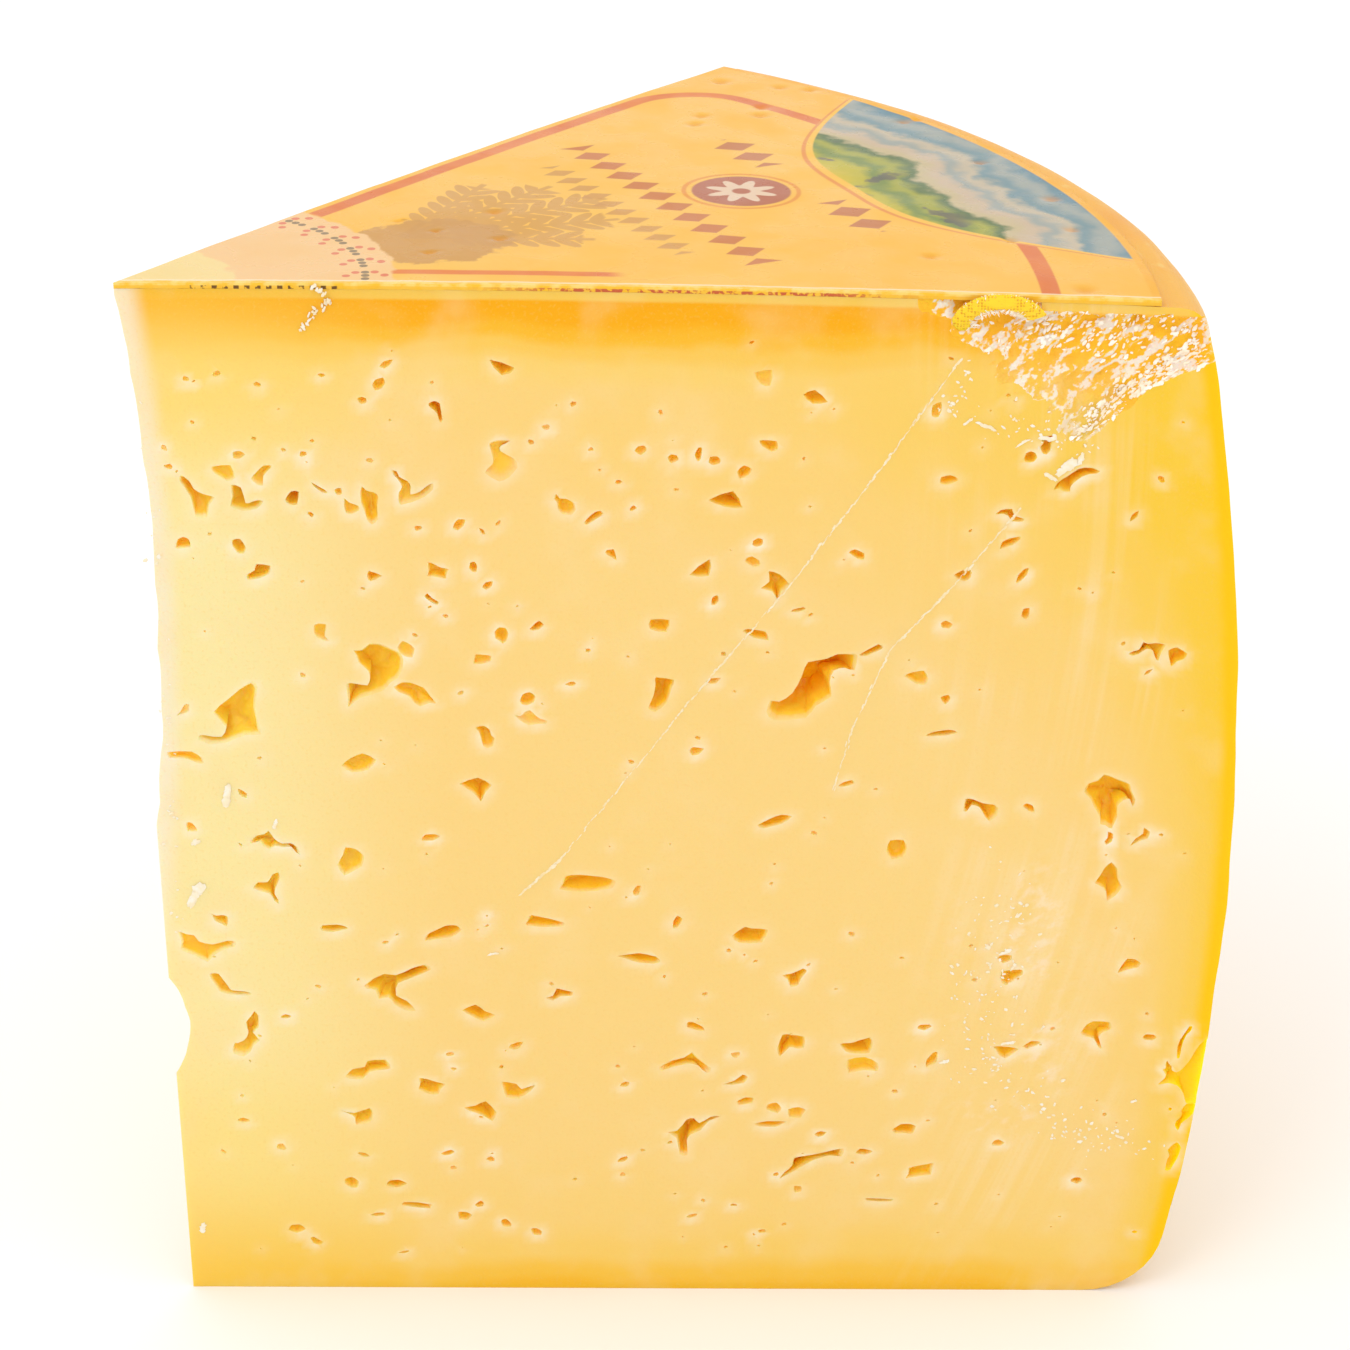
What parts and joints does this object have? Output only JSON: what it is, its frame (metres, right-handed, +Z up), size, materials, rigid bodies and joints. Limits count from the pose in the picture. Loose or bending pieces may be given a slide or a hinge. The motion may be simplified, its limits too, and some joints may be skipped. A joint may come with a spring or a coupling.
{
  "type": "cheese wedge",
  "caption": "Tall wedge cut from a round semi-hard cheese: flat cut faces with irregular holes, a bulging waxy rind, a hollowed pointed end, a torn top corner and a printed film on the top.",
  "frame": {"origin": "Middle of the bounding box's base, on the wheel's flat underside that the wedge stands on.", "axes": "+Z is up, along the wheel's axis. The front cut face looks to -Y and lies along X, with the pointed end at -X and the rind at +X. The back cut face turns 54.6 degrees from it about the wheel's axis."},
  "size_m": [0.137, 0.1138, 0.1443],
  "materials": {
    "cheese": "satin",
    "film": "semi-gloss"
  },
  "bodies": {
    "root": {"cheese": "cheese", "top_film": "film"}
  },
  "joints": []
}
